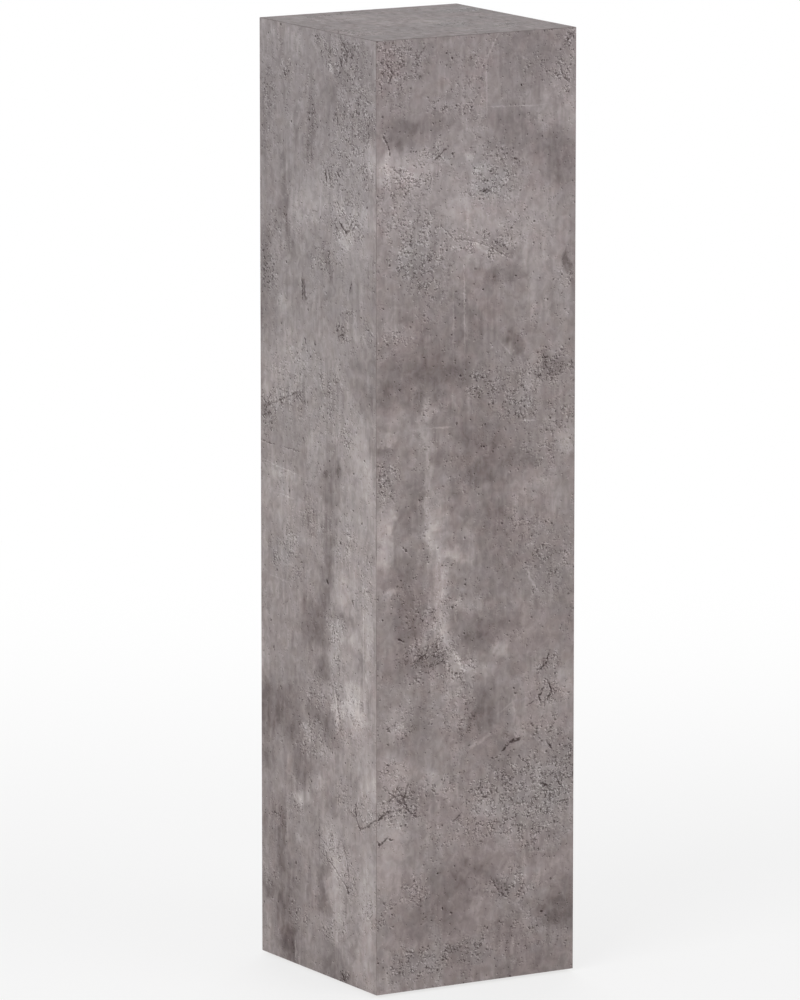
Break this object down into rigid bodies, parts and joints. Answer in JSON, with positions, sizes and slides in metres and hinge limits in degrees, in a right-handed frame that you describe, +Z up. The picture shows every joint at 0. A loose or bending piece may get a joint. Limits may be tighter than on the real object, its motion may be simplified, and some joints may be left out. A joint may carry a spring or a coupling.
{
  "type": "pillar side table",
  "caption": "Tall square pillar table with a flat top: a closed case of concrete-look laminated boards, mitred at every edge, on low glides.",
  "frame": {"origin": "centre of the foot, on the floor the glides stand on", "axes": "+Z up; -Y out of the front face, which is the wide face in the picture; -X out of the left face, the narrow one in the picture"},
  "size_m": [0.24, 0.24, 1],
  "materials": {
    "decor_laminate": "matt concrete-look decor",
    "backing_laminate": "matt",
    "board": "raw sawn fibreboard",
    "hardwood": "planed",
    "softwood": "planed",
    "zinc_steel": "zinc plated",
    "nylon": "matt"
  },
  "bodies": {
    "root": {"front_laminate": "decor_laminate", "right_laminate": "decor_laminate", "back_laminate": "decor_laminate", "left_laminate": "decor_laminate", "top_laminate": "decor_laminate", "front_panel": "board", "right_panel": "board", "back_panel": "board", "left_panel": "board", "top_panel": "board", "front_backer": "backing_laminate", "right_backer": "backing_laminate", "back_backer": "backing_laminate", "left_backer": "backing_laminate", "top_backer": "backing_laminate", "front_left_spline": "hardwood", "front_right_spline": "hardwood", "back_right_spline": "hardwood", "back_left_spline": "hardwood", "top_front_spline": "hardwood", "top_right_spline": "hardwood", "top_back_spline": "hardwood", "top_left_spline": "hardwood", "front_left_block": "softwood", "front_right_block": "softwood", "back_right_block": "softwood", "back_left_block": "softwood", "base_panel": "board", "front_cleat": "softwood", "right_cleat": "softwood", "back_cleat": "softwood", "left_cleat": "softwood", "cleat_screws": "zinc_steel", "base_screws": "zinc_steel", "front_left_glide": "nylon", "front_right_glide": "nylon", "back_right_glide": "nylon", "back_left_glide": "nylon", "glide_nails": "zinc_steel"}
  },
  "joints": []
}
